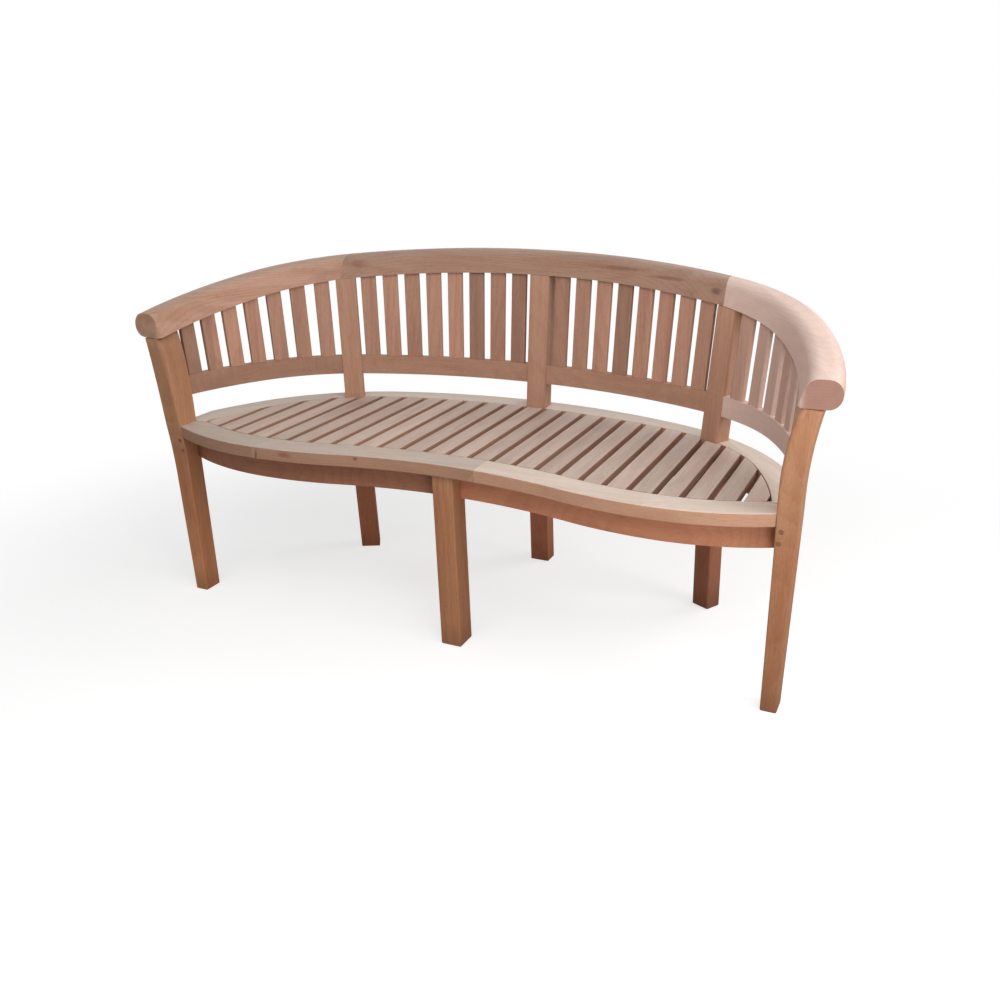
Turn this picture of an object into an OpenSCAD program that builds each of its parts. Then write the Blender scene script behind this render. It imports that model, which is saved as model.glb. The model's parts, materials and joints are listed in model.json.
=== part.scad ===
// Curved three-seat teak garden bench with a wavy front edge and a wrap-round slatted back.
// Plan curves are measured from the crown of the back, at the front face of the lower back rail.

/* [Back curve in plan] */
// Radius of the middle of the back curve
crown_r = 1060; // [1000:5:1120]
// Angle from the centre at which the middle of the curve ends
crown_a = 24.2; // [22.2:0.1:26]
// Radius of the tighter shoulders of the curve
shoulder_r = 380; // [360:5:400]
// Angle at which the shoulders end
shoulder_a = 60.7; // [59:0.1:63]
// Radius of the arms
arm_r = 720; // [660:5:780]
// Angle at which the lower back rail reaches the end leg
leg_a = 78.3; // [77:0.1:79.5]
// Angle of the two side posts
post_a = 28.5; // [27:0.5:30]

/* [Seat] */
// Height of the top of the seat
seat_h = 428; // [410:1:450]
// Thickness of the seat ring
ring_t = 27; // [24:1:32]
// Width of the front of the seat ring
front_ring_w = 71; // [60:1:80]
// Width of the back of the seat ring at the centre
rear_ring_w = 65; // [60:1:72]
// Depth of the hollow in the front edge
wave_depth = 56; // [40:1:70]
// Radius of the hollow in the front edge
hollow_r = 1000; // [900:10:1100]
// Radius of the front edge where it runs into the end leg
front_end_r = 480; // [460:5:520]
// Distance from the end leg to the most forward point of the seat
lobe_inset = 232; // [220:1:246]
// Distance between the centres of two seat slats
slat_pitch = 52; // [50:0.5:52.5]
// Width of a seat slat
seat_slat_w = 39; // [34:0.5:41]
// Thickness of a seat slat
seat_slat_t = 19; // [16:1:22]
// Gap at the back end of a seat slat
slat_end_gap = 1.5; // [0.5:0.5:3]
// Place of the middle joint of the front of the ring, to the right of the centre
front_joint_x = 70; // [40:5:100]
// Distance of the two outer joints of the front of the ring from the centre
lobe_joint_x = 426; // [400:2:440]

/* [Aprons and bearers] */
// Height of the aprons
apron_h = 59; // [50:1:64]
// Thickness of the aprons
apron_t = 24; // [20:1:27]
// Distance of the front apron behind the front edge at the centre
apron_inset = 51; // [46:1:54]
// Height of the front to back bearers under the seat
bearer_h = 32; // [26:1:40]
// Width of the front to back bearers
bearer_w = 30; // [24:1:36]
// Width of the cross batten that the seat slats rest on
batten_w = 40; // [30:1:60]

/* [Legs and posts] */
// Width of an end leg at the seat
leg_w = 42; // [40:1:48]
// Depth of an end leg at the floor
leg_d = 50; // [47:1:56]
// How much narrower an end leg is at the floor, on its inner side
leg_taper_in = 1; // [0:1:6]
// How much narrower an end leg is at the floor, on its outer side
leg_taper_out = 8; // [0:1:10]
// Height at which the end leg starts to sweep forward
sweep_from = 300; // [260:5:320]
// Radius of the outward flare at the top of the end leg
flare_r = 600; // [560:5:680]
// Distance of the back line from the inner face of the end leg
leg_step = 15; // [13:0.5:17]
// Slope of the end legs from the floor, in degrees
rake = 4; // [3:0.5:5.5]
// Slope of the feet of the rear posts, in degrees
post_rake = 6.7; // [5:0.1:8]
// Slope of the front centre leg, in degrees
front_leg_rake = 2.5; // [1:0.5:4]
// Width of a post of the back
post_w = 48; // [44:1:54]
// Depth of a post of the back
post_d = 43; // [41:1:50]
// How far a post stands in front of the lower back rail
post_step = 3; // [1:0.5:5]
// Width of the front centre leg
front_leg_w = 47; // [44:1:56]
// Depth of the front centre leg
front_leg_d = 58; // [52:1:62]
// Sideways slope of the front centre leg, in degrees
front_leg_tilt = 1.4; // [0:0.2:2]
// Distance of the front centre leg behind the front edge of the seat
front_leg_inset = 13; // [8:1:18]
// Diameter of the wooden plugs in the end legs
plug_d = 10; // [8:0.5:12]

/* [Back] */
// Height of the underside of the lower back rail
low_rail_z = 488; // [480:1:500]
// Height of the lower back rail
low_rail_h = 45; // [38:1:50]
// Thickness of the lower back rail
low_rail_t = 20; // [18:1:26]
// Outward lean of the back slats and posts, in degrees
lean = 2; // [1.5:0.5:3]
// Sideways lean of a back slat or post for each metre from the middle, in degrees
fan = 5; // [0:0.5:6]
// Slats in each middle bay of the back
mid_slats = 8; // [6:1:9]
// Slats in each end bay of the back
end_slats = 7; // [5:1:8]
// Width of a back slat
back_slat_w = 37; // [32:1:40]
// Thickness of a back slat
back_slat_t = 11; // [9:1:14]
// Gap beside a post or leg as a share of the gap between two back slats
side_gap = 0.7; // [0.5:0.05:1]
// Height of the underside of the top rail at the crown
top_rail_z = 747; // [730:1:770]
// Rise of the top rail per unit of distance from front to back
top_slope = 0.22; // [0.19:0.005:0.24]
// Distance of the left joint of the top rail from the centre
top_joint_left = 480; // [470:1:486]
// Distance of the right joint of the top rail from the centre
top_joint_right = 462; // [456:1:474]
// Width of the top rail
top_rail_w = 82; // [78:1:90]
// Thickness of the top rail
top_rail_h = 53; // [48:1:58]
// Width of the sloping inner side of the top rail, up to the centre of its round
top_inner_u = 37; // [34:1:40]
// Distance of the inner edge of the top rail behind the back curve
top_in_off = 4; // [2:0.5:5]
// How far the arms draw inward from the back curve towards the end legs
arm_in = 9; // [5:0.5:10]
// How much narrower the top rail is at the end legs than at the crown
arm_narrow = 5; // [0:0.5:8]
// Radius of the upright inner corner at the end of an arm
arm_corner_r = 14; // [8:1:18]

/* [Joints] */
// Clearance round every tenon, tongue and dowel
fit = 0.2; // [0.15:0.05:0.3]
// Length of a rail tenon in a post or leg
tenon_l = 16; // [12:1:18]
// Thickness of a rail tenon
tenon_t = 10; // [8:1:12]
// Shoulder above and below a rail tenon
tenon_shoulder = 8; // [6:1:10]
// Depth to which a back slat is let into the rails
slat_house = 9; // [7:0.5:11]
// Length of the tongue of a seat slat
tongue_l = 10; // [8:1:12]
// Thickness of the tongue of a seat slat
tongue_t = 9; // [7:1:10]
// Height of the tenon on top of a post or end leg
top_tenon_h = 20; // [16:1:22]
// Thickness of the tenon on top of a post or end leg
top_tenon_t = 18; // [16:1:22]
// Width of the tenon on top of a post or end leg
top_tenon_w = 30; // [24:1:32]
// Diameter of the dowels
dowel_d = 8; // [6:1:8]
// Length of the dowels
dowel_l = 40; // [30:2:44]

/* [Hidden] */
deg = 180 / PI;
chord = 16;
far = 2000;
seat_slats = 25;
slat_ids = [for (k = [1:seat_slats]) k];
function two_digits(k) = str(k < 10 ? "0" : "", k);

// A curve in plan is [middle radius, angle, shoulder radius, angle, end radius, y of its crown]
inner_crown_more = 250;
inner_crown_turn = 8.6;
inner_shoulder_less = 10;
inner_shoulder_turn = 3.1;
inner_arm_more = 104;
outer_crown_more = 45;
outer_crown_turn = 4.6;
outer_shoulder_more = 121;
outer_shoulder_turn = 2.3;
outer_arm_more = 180;
ring_inner_y = -2 * post_step;
back = [crown_r, crown_a, shoulder_r, shoulder_a, arm_r, 0];
ring_inner = [crown_r + inner_crown_more, crown_a - inner_crown_turn,
    shoulder_r - inner_shoulder_less, shoulder_a + inner_shoulder_turn, arm_r + inner_arm_more, ring_inner_y];
ring_outer = [crown_r + outer_crown_more, crown_a - outer_crown_turn,
    shoulder_r + outer_shoulder_more, shoulder_a + outer_shoulder_turn, arm_r + outer_arm_more,
    ring_inner_y + rear_ring_w];

function arc_l(r, a) = r * a / deg;
function crown_c(c) = [0, c[5] - c[0]];
function shoulder_c(c) = crown_c(c) + (c[0] - c[2]) * [sin(c[1]), cos(c[1])];
function arm_c(c) = shoulder_c(c) + (c[2] - c[4]) * [sin(c[3]), cos(c[3])];
// Point of a curve where its normal stands at angle a, moved outward by off
function half_point(c, a, off) =
    a <= c[1] ? crown_c(c) + (c[0] + off) * [sin(a), cos(a)] :
    a <= c[3] ? shoulder_c(c) + (c[2] + off) * [sin(a), cos(a)] :
    arm_c(c) + (c[4] + off) * [sin(a), cos(a)];
function point(c, a, off = 0) = let (p = half_point(c, abs(a), off)) [a < 0 ? -p[0] : p[0], p[1]];
// Length along a curve from its crown to angle a, and the angle at a length
function run(c, a) = let (t = abs(a)) sign(a) * (arc_l(c[0], min(t, c[1]))
    + arc_l(c[2], max(0, min(t, c[3]) - c[1])) + arc_l(c[4], max(0, t - c[3])));
function turn(c, s) = let (t = abs(s), s1 = run(c, c[1]), s2 = run(c, c[3]))
    sign(s) * (t <= s1 ? t / c[0] * deg : t <= s2 ? c[1] + (t - s1) / c[2] * deg : c[3] + (t - s2) / c[4] * deg);
// Angle at which the end part of a curve, moved outward by off, reaches a given y
function turn_at_y(c, y, off = 0) = acos((y - arm_c(c)[1]) / (c[4] + off));
function curve(c, a0, a1, off = 0) = let (s0 = run(c, a0), s1 = run(c, a1), n = ceil(abs(s1 - s0) / chord))
    [for (k = [0:n]) point(c, turn(c, s0 + (s1 - s0) * k / n), off)];
function flare(r, d) = r - sqrt(r * r - d * d);

// End leg: its place follows the end of the back curve, its faces sweep forward at the seat
under_seat = seat_h - ring_t;
leg_back = point(back, leg_a);
leg_in_x = leg_back[0] - leg_step;
leg_out_x = leg_in_x + leg_w;
leg_rear_top_y = leg_back[1];
rear_turn_up = 50;
rear_turn_z = seat_h + rear_turn_up;
rear_turn_r = 900;
rear_upright_z = rear_turn_z + rear_turn_r * sin(rake);
function leg_rear_y(z) = leg_rear_top_y + (z >= rear_upright_z ? 0 :
    z >= rear_turn_z ? flare(rear_turn_r, rear_upright_z - z) :
    rear_turn_r * (1 - cos(rake)) + (rear_turn_z - z) * tan(rake));
sweep_r = 1040;
sweep_a = rake + 6.5;
upright_r = 1000;
sweep_to = sweep_from + sweep_r * (sin(sweep_a) - sin(rake));
upright_z = sweep_to + upright_r * sin(sweep_a);
leg_foot_y = leg_rear_y(0) - leg_d;
leg_front_sweep_y = leg_foot_y - sweep_from * tan(rake);
leg_front_bend_y = leg_front_sweep_y - sweep_r * (cos(rake) - cos(sweep_a));
leg_front_top_y = leg_front_bend_y - upright_r * (1 - cos(sweep_a));
leg_steps = 6;
leg_side = concat([[leg_foot_y, 0]],
    [for (k = [0:leg_steps]) let (a = rake + (sweep_a - rake) * k / leg_steps)
        [leg_front_sweep_y - sweep_r * (cos(rake) - cos(a)), sweep_from + sweep_r * (sin(a) - sin(rake))]],
    [for (k = [1:leg_steps]) let (a = sweep_a * (1 - k / leg_steps))
        [leg_front_top_y + upright_r * (1 - cos(a)), upright_z - upright_r * sin(a)]],
    [[leg_front_top_y, top_rail_z], [leg_rear_top_y, top_rail_z]],
    [for (k = [0:leg_steps]) let (z = rear_upright_z - (rear_upright_z - rear_turn_z) * k / leg_steps)
        [leg_rear_y(z), z]],
    [[leg_rear_y(0), 0]]);
leg_seat_y = leg_front_bend_y + flare(upright_r, (upright_z - seat_h)) - upright_r * (1 - cos(sweep_a));

// Height of the underside of the top rail, and the distance of its inner edge behind the back curve
function under_z(y) = top_rail_z + top_slope * y;
post_run = run(back, post_a);
leg_run = run(back, leg_a);
// How far a place is along an arm: 0 at the post, 1 at the leg
function arm_share(a) = max(0, run(back, abs(a)) - post_run) / (leg_run - post_run);
function top_off(a) = top_in_off - arm_in * pow(arm_share(a), 2);
function top_edge(a) = point(back, a, top_off(a));
arm_end_a = turn_at_y(back, leg_front_top_y, top_in_off - arm_in);
leg_top_y = (leg_front_top_y + leg_rear_top_y) / 2;
leg_top_a = turn_at_y(back, leg_top_y);
leg_top_gap = 0.6;
post_top_gap = 0.3;

// Outline of the end leg from the front, with the flare that carries the arm
flare_up = 42;
flare_out_up = 22;
flare_out_more = 180;
flare_z = seat_h + flare_up;
flare_out_z = seat_h + flare_out_up;
flare_out_r = flare_r + flare_out_more;
flare_steps = 8;
leg_cut_up = 10;
leg_cut_z = under_z(leg_rear_top_y) + leg_cut_up;
leg_front = concat([[leg_in_x + leg_taper_in, 0], [leg_in_x, seat_h]],
    [for (k = [0:flare_steps]) let (dz = (leg_cut_z - flare_z) * k / flare_steps)
        [leg_in_x + flare(flare_r, dz), flare_z + dz]],
    [for (k = [flare_steps:-1:0]) let (dz = (leg_cut_z - flare_out_z) * k / flare_steps)
        [leg_out_x + flare(flare_out_r, dz), flare_out_z + dz]],
    [[leg_out_x, seat_h], [leg_out_x - leg_taper_out, 0]]);

// Front edge of the seat: a hollow in the middle between two lobes
lobe_x = leg_in_x - lobe_inset;
corner_step = 3;
lobe_y = leg_seat_y + corner_step - flare(front_end_r, lobe_inset);
front_y0 = lobe_y + wave_depth;
wave_a = 2 * atan(wave_depth / lobe_x);
lobe_r = lobe_x / sin(wave_a) - hollow_r;
// Line that runs a distance off behind the front edge, with end_r as its last radius
function front_y(x, off, end_r) = let (t = abs(x))
    t <= (hollow_r + off) * sin(wave_a) ? front_y0 - hollow_r + sqrt(pow(hollow_r + off, 2) - t * t) :
    t <= lobe_x ? lobe_y + lobe_r - sqrt(pow(lobe_r - off, 2) - pow(lobe_x - t, 2)) :
    lobe_y + off + flare(end_r, t - lobe_x);
function front_line(x0, x1, off, end_r) = let (n = ceil(abs(x1 - x0) / chord))
    [for (k = [0:n]) let (x = x0 + (x1 - x0) * k / n) [x, front_y(x, off, end_r)]];
inner_end_less = 25;
apron_end_more = 6;
inner_end_r = front_end_r - inner_end_less;
apron_end_r = front_end_r + apron_end_more;
apron_z = under_seat - apron_h;

notch_y = leg_rear_y(seat_h);
open_lap = 30;
open_a = turn_at_y(ring_inner, notch_y - open_lap);
ring_end_a = turn_at_y(ring_outer, notch_y);
tongue_z = seat_h - seat_slat_t;
tongue_shoulder = 4;
tongue_w = seat_slat_w - 2 * tongue_shoulder;
low_rail_top = low_rail_z + low_rail_h;
post_x = point(back, post_a)[0];
slat_off = (low_rail_t - back_slat_t) / 2;
rear_apron_off = 5;

// The bench stands with its origin at the middle of its width and depth
seat_off = -post_step - tan(lean) * (low_rail_top - seat_h);
foot_back_y = seat_off + seat_h * tan(post_rake) + post_d;
mid_y = (max(foot_back_y, top_in_off + top_rail_w) + lobe_y) / 2;
module place() translate([0, -mid_y, 0]) children();

module on_side(side) if (side < 0) mirror([1, 0, 0]) children(); else children();

// Solid between two distances from a plan curve
module band(c, a0, a1, in, out, z0, z1)
    translate([0, 0, z0]) linear_extrude(z1 - z0)
        polygon(concat(curve(c, a0, a1, in), curve(c, a1, a0, out)));

// Everything above the underside of the top rail, near the place on it at angle a
module above_top(a, gap) {
    p = top_edge(a);
    translate([p[0], p[1], under_z(p[1]) - gap]) rotate([0, 0, -a]) rotate([0, atan(top_slope * sin(a)), 0])
        translate([-far / 2, -far / 2, 0]) cube([far, far, far / 2]);
}

// Sideways lean of what stands at angle a
function fan_at(a) = fan * run(back, a) / 1000;
// Frame of a place on the back at angle a, leaning outward and sideways from the top of the lower rail
module on_back(a, off = 0) {
    p = point(back, a, off);
    translate([p[0], p[1], low_rail_top]) rotate([0, 0, -a]) rotate([-lean, 0, 0]) rotate([0, fan_at(a), 0])
        children();
}

module leg_blank(side) on_side(side) difference() {
    intersection() {
        rotate([90, 0, 90]) linear_extrude(far / 2) polygon(leg_side);
        rotate([90, 0, 0]) translate([0, 0, -far / 4]) linear_extrude(far) polygon(leg_front);
    }
    above_top(leg_top_a, leg_top_gap);
}
// Everything beside an end leg, from its middle outward
module past_leg(side) on_side(side) translate([leg_in_x + leg_w / 2, 0, 0]) rotate([90, 0, 90])
    linear_extrude(far / 2) polygon(leg_side);
// Everything further out than the outer face of an end leg, so that what ends behind it doesn't show beside it
leg_trim = 2;
module beyond_leg(side) on_side(side) translate([leg_out_x - leg_trim, -far, 0]) cube(2 * far);
module leg_tenon(side, g = 0) {
    z = under_z(leg_top_y);
    x = leg_in_x + flare(flare_r, z - flare_z) + leg_w / 2;
    on_side(side) translate([x - top_tenon_t / 2 - g, leg_top_y - top_tenon_w / 2 - g, z - 2 * top_tenon_h])
        cube([top_tenon_t + 2 * g, top_tenon_w + 2 * g, 3 * top_tenon_h + g]);
}

// A post: a raked foot up to the seat and a leaning upper part, turned to face the seat
kick = seat_h * tan(post_rake);
function post_side(a, g) = let (foot = kick * cos(a), top = tan(lean) * seat_h)
    [for (p = [[foot - g, 0], [-g, seat_h], [top - g, 2 * seat_h], [top + post_d + g, 2 * seat_h],
        [post_d + g, seat_h], [foot + post_d + g, 0]]) p + [seat_off, 0]];
function post_front(a, g) = let (half = post_w / 2 + g, low = tan(fan_at(a)) * (seat_h - low_rail_top),
    foot = low - kick * sin(a), top = tan(fan_at(a)) * (2 * seat_h - low_rail_top))
    [[foot - half, 0], [low - half, seat_h], [top - half, 2 * seat_h],
        [top + half, 2 * seat_h], [low + half, seat_h], [foot + half, 0]];
module post_blank(side, g = 0) {
    a = side * post_a;
    difference() {
        translate(point(back, a)) rotate(-a) intersection() {
            rotate([90, 0, 90]) translate([0, 0, -far / 4]) linear_extrude(far / 2) polygon(post_side(a, g));
            rotate([90, 0, 0]) translate([0, 0, -far / 4]) linear_extrude(far / 2) polygon(post_front(a, g));
        }
        above_top(a, post_top_gap);
    }
}
module post_tenon(side, g = 0) {
    a = side * post_a;
    on_back(a) translate([-top_tenon_w / 2 - g, (post_d - top_tenon_t) / 2 - post_step - g, 0])
        cube([top_tenon_w + 2 * g, top_tenon_t + 2 * g,
            under_z(top_edge(a)[1]) - low_rail_top + top_tenon_h + g]);
}

// A rail or apron of the back runs between two uprights and ends in a thinner tenon in each
function bay_runs(bay) = bay == "middle" ?
    [post_w / 2 - tenon_l, post_run - post_w / 2 + tenon_l] :
    [post_run + post_w / 2 - tenon_l, leg_run + tenon_l];
module rail_band(side, bay, in, out, z0, z1, g = 0) {
    runs = bay_runs(bay);
    band(back, side * turn(back, runs[0] - g), side * turn(back, runs[1] + g), in, out, z0, z1);
}
module rail_tenons(side, bay, in, t, z, h, g = 0)
    rail_band(side, bay, in + (t - tenon_t) / 2 - g, in + (t + tenon_t) / 2 + g,
        z + tenon_shoulder - g, z + h - tenon_shoulder + g, g);
module rail_body(side, bay, in, t, z, h) difference() {
    rail_band(side, bay, in, in + t, z, z + h);
    post_blank(side);
    if (bay == "middle") post_blank(0);
    if (bay == "end") {
        leg_blank(side);
        past_leg(side);
        beyond_leg(side);
    }
}
module rail_mortises(side, bay) {
    rail_tenons(side, bay, 0, low_rail_t, low_rail_z, low_rail_h, fit);
    rail_tenons(side, bay, rear_apron_off, apron_t, apron_z, apron_h, fit);
}

module rear_post(side) place() color("#9c6239") difference() {
    union() {
        post_blank(side);
        post_tenon(side);
    }
    if (side <= 0) rail_mortises(-1, "middle");
    if (side >= 0) rail_mortises(1, "middle");
    if (side != 0) rail_mortises(side, "end");
}

// Aprons under the front of the ring, tenoned into the centre leg and the end legs
module front_apron_band(side, x0, x1, in, out, z0, z1)
    on_side(side) translate([0, 0, z0]) linear_extrude(z1 - z0)
        polygon(concat(front_line(x0, x1, in, apron_end_r + apron_inset - in),
            front_line(x1, x0, out, apron_end_r + apron_inset - out)));
apron_tenon_in = 2;
apron_tenon_t = 8;
front_leg_shift = -tan(front_leg_tilt) * (apron_z + apron_h / 2);
module front_apron_tenon(side, g = 0)
    front_apron_band(side, front_leg_w / 2 - tenon_l + side * front_leg_shift - g, leg_in_x + tenon_l + g,
        apron_inset + apron_tenon_in - g,
        apron_inset + apron_tenon_in + apron_tenon_t + g, apron_z + tenon_shoulder - g,
        under_seat - tenon_shoulder + g);
module front_apron(side) place() color("#93572f") {
    difference() {
        front_apron_band(side, 0, leg_in_x + leg_taper_in, apron_inset, apron_inset + apron_t, apron_z, under_seat);
        leg_blank(side);
        front_leg_blank(apron_t);
    }
    front_apron_tenon(side);
}

// Wooden plugs let into the front face of an end leg over the screws that hold the apron
plug_depth = 8;
plug_places = [[8, 34], [11, 9]];
module plugs(side, g = 0) for (p = plug_places) {
    z = under_seat - p[1];
    on_side(side) translate([leg_in_x + p[0], leg_front_sweep_y - (z - sweep_from) * tan(rake) + plug_depth / 2, z])
        rotate([90, 0, 0]) cylinder(d = plug_d + 2 * g, h = 4 * plug_depth, $fn = 48);
}
module leg_plugs() place() color("#8f5a34") for (side = [-1, 1]) intersection() {
    plugs(side);
    leg_blank(side);
}

module end_leg(side) place() color("#a4683c") difference() {
    union() {
        leg_blank(side);
        leg_tenon(side);
    }
    rail_mortises(side, "end");
    front_apron_tenon(side, fit);
    plugs(side, fit / 2);
}

// The blank of the front centre leg, and the same made deeper to cut what ends at its sides
module front_leg_blank(deeper = 0) intersection() {
    translate([0, front_y0 + front_leg_inset, 0]) rotate([0, -front_leg_tilt, 0]) translate([0, 0, under_seat])
        rotate([front_leg_rake, 0, 0]) translate([-front_leg_w / 2, 0, -seat_h])
            cube([front_leg_w, front_leg_d * cos(front_leg_rake) + deeper, 2 * seat_h]);
    translate([-far / 2, -far / 2, 0]) cube([far, far, under_seat]);
}
module front_centre_leg() place() color("#a4683c") difference() {
    front_leg_blank();
    front_apron_tenon(-1, fit);
    front_apron_tenon(1, fit);
}

// Top rail: a section with a sloping inner side, a flat underside and a rolled outer side
round_r = top_rail_h / 2;
inner_a = 90 + 2 * atan(round_r / top_inner_u);
inner_steps = 5;
outer_steps = 12;
section = concat([[0, 0]],
    [for (k = [0:inner_steps]) let (a = inner_a + (90 - inner_a) * k / inner_steps)
        [top_inner_u + round_r * cos(a), round_r + round_r * sin(a)]],
    [for (k = [0:outer_steps]) let (a = 90 - 180 * k / outer_steps)
        [top_rail_w - round_r + round_r * cos(a), round_r + round_r * sin(a)]]);
corners = len(section);
function rail_ring(a) = let (z = under_z(top_edge(a)[1]), k = 1 - arm_narrow / top_rail_w * pow(arm_share(a), 2))
    [for (p = section) let (q = point(back, a, top_off(a) + k * p[0])) [q[0], q[1], z + p[1]]];
module rail_sweep(a0, a1) {
    s0 = run(back, a0);
    s1 = run(back, a1);
    n = ceil((s1 - s0) / chord);
    rings = [for (k = [0:n]) each rail_ring(turn(back, s0 + (s1 - s0) * k / n))];
    walls = [for (i = [0:n - 1]) for (k = [0:corners - 1]) let (k2 = (k + 1) % corners)
        [i * corners + k, i * corners + k2, (i + 1) * corners + k2, (i + 1) * corners + k]];
    ends = [[for (k = [corners - 1:-1:0]) k], [for (k = [0:corners - 1]) n * corners + k]];
    polyhedron(points = rings, faces = concat(ends, walls), convexity = 6);
}
// Dowels across a joint that stands square to the width of the bench
module dowel_x(x, y, z, g) translate([x - dowel_l / 2 - g, y, z]) rotate([0, 90, 0])
    cylinder(d = dowel_d + 2 * g, h = dowel_l + 2 * g, $fn = 32);
rail_dowel_up = 34;
rail_dowel_in = [30, 54];
module rail_dowels(side, g = 0) on_side(side) {
    p = top_edge(post_a);
    for (u = rail_dowel_in) dowel_x(joint_x(side), p[1] + u / cos(post_a), under_z(p[1]) + rail_dowel_up, g);
}
past_joint_a = 9;
function joint_x(side) = side < 0 ? top_joint_left : top_joint_right;
// What is cut from the inner corner at the end of an arm to round it
module arm_corner() {
    p = top_edge(arm_end_a);
    translate([p[0], p[1], 0]) rotate(-arm_end_a) linear_extrude(far) difference() {
        translate([-arm_corner_r, -arm_corner_r]) square(2 * arm_corner_r);
        translate([-arm_corner_r, arm_corner_r]) circle(arm_corner_r, $fn = 64);
        translate([-2 * arm_corner_r, arm_corner_r]) square(3 * arm_corner_r);
    }
}
module top_rail_middle() place() color("#a06a45") difference() {
    rail_sweep(-post_a - past_joint_a, post_a + past_joint_a);
    for (side = [-1, 1]) {
        on_side(side) translate([joint_x(side), -far / 2, 0]) cube(far);
        rail_dowels(side, fit / 2);
        post_tenon(side, fit);
        slat_boards(side, "middle", fit);
    }
    post_tenon(0, fit);
}
module top_rail_arm(side) place() color("#bb8d6a") difference() {
    on_side(side) difference() {
        rail_sweep(post_a - past_joint_a, arm_end_a);
        translate([joint_x(side) - far, -far / 2, 0]) cube(far);
        arm_corner();
    }
    rail_dowels(side, fit / 2);
    post_tenon(side, fit);
    leg_tenon(side, fit);
    slat_boards(side, "end", fit);
}

module lower_rail(side, bay) place() color("#ab7247") difference() {
    union() {
        rail_body(side, bay, 0, low_rail_t, low_rail_z, low_rail_h);
        rail_tenons(side, bay, 0, low_rail_t, low_rail_z, low_rail_h);
    }
    slat_boards(side, bay, fit);
}
module rear_apron(side, bay) place() color("#8f5831") {
    rail_body(side, bay, rear_apron_off, apron_t, apron_z, apron_h);
    rail_tenons(side, bay, rear_apron_off, apron_t, apron_z, apron_h);
}

// Back slats stand in the lower rail and are let into the underside of the top rail
function slat_run(n, s0, s1, i) = let (gap = (s1 - s0 - n * back_slat_w) / (n - 1 + 2 * side_gap))
    s0 + gap * (i + side_gap) + back_slat_w * (i + 0.5);
module slat_boards(side, bay, g = 0) {
    n = bay == "middle" ? mid_slats : end_slats;
    from = bay == "middle" ? post_w / 2 : post_run + post_w / 2;
    to = bay == "middle" ? post_run - post_w / 2 : leg_run;
    for (i = [0:n - 1]) {
        a = side * turn(back, slat_run(n, from, to, i));
        on_back(a, slat_off) translate([-back_slat_w / 2 - g, -g, -slat_house - g])
            cube([back_slat_w + 2 * g, back_slat_t + 2 * g,
                under_z(top_edge(a)[1]) - low_rail_top + 2 * slat_house + 2 * g]);
    }
}
module back_slats(side, bay) place() color("#b07c55") slat_boards(side, bay);

// Opening of the seat ring, grown by a distance at the front and at the back
module opening(front, rear) intersection() {
    polygon(concat(curve(ring_inner, -open_a, open_a, rear), [[far, -far], [-far, -far]]));
    polygon(concat(front_line(-leg_out_x, leg_out_x, front_ring_w - front, inner_end_r + front),
        [[leg_out_x, far], [-leg_out_x, far]]));
}
function slat_x(k) = (k - (seat_slats + 1) / 2) * slat_pitch;
module slat_strip(k, w) translate([slat_x(k) - w / 2, -far / 2]) square([w, far]);
// A seat slat whose rear end meets a post has no tongue there
function meets_post(k) = let (x = abs(slat_x(k)), reach = (post_w + tongue_w) / 2)
    x < reach || abs(x - post_x) < reach;

module ring_plan() difference() {
    polygon(concat(curve(ring_outer, -ring_end_a, ring_end_a), [[leg_in_x, notch_y]],
        front_line(leg_in_x, -leg_in_x, 0, front_end_r), [[-leg_in_x, notch_y]]));
    opening(0, 0);
}
// The front of the ring is the part ahead of the notch for the end leg, and the hollow between the lobes
module front_zone() {
    translate([-far / 2, notch_y - far]) square(far);
    translate([-lobe_x, notch_y - far / 2]) square([2 * lobe_x, far / 2 + front_ring_w]);
}
// Half of the plane beyond the middle of a side post
module past_post(side) translate(point(back, side * post_a)) rotate(-side * post_a)
    translate([side > 0 ? 0 : -far, -far / 2]) square(far);
module ring_piece() difference() {
    translate([0, 0, under_seat]) linear_extrude(ring_t) intersection() {
        ring_plan();
        children();
    }
    translate([0, 0, tongue_z - fit]) linear_extrude(tongue_t + 2 * fit) for (k = slat_ids) intersection() {
        opening(tongue_l, meets_post(k) ? -tongue_l : tongue_l);
        slat_strip(k, tongue_w + 2 * fit);
    }
}
ring_dowel_in = [18, 42];
module ring_dowels(g = 0) for (x = [-lobe_joint_x, front_joint_x, lobe_joint_x]) for (off = ring_dowel_in)
    dowel_x(x, front_y(x, off, front_end_r - off), under_seat + ring_t / 2, g);
module ring_front(x0, x1) place() color("#bd967a") difference() {
    ring_piece() intersection() {
        front_zone();
        translate([x0, -far / 2]) square([x1 - x0, far]);
    }
    if (x0 < -lobe_joint_x) leg_blank(-1);
    if (x1 > lobe_joint_x) leg_blank(1);
    ring_dowels(fit / 2);
}
module ring_rear_end(side) place() color("#bd967a") difference() {
    ring_piece() difference() {
        past_post(side);
        front_zone();
    }
    leg_blank(side);
    post_blank(side);
    beyond_leg(side);
}
module ring_rear_middle(side) place() color("#bd967a") difference() {
    ring_piece() difference() {
        translate([side > 0 ? 0 : -far, -far / 2]) square(far);
        past_post(side);
        front_zone();
    }
    post_blank(side);
    post_blank(0);
}

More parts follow.
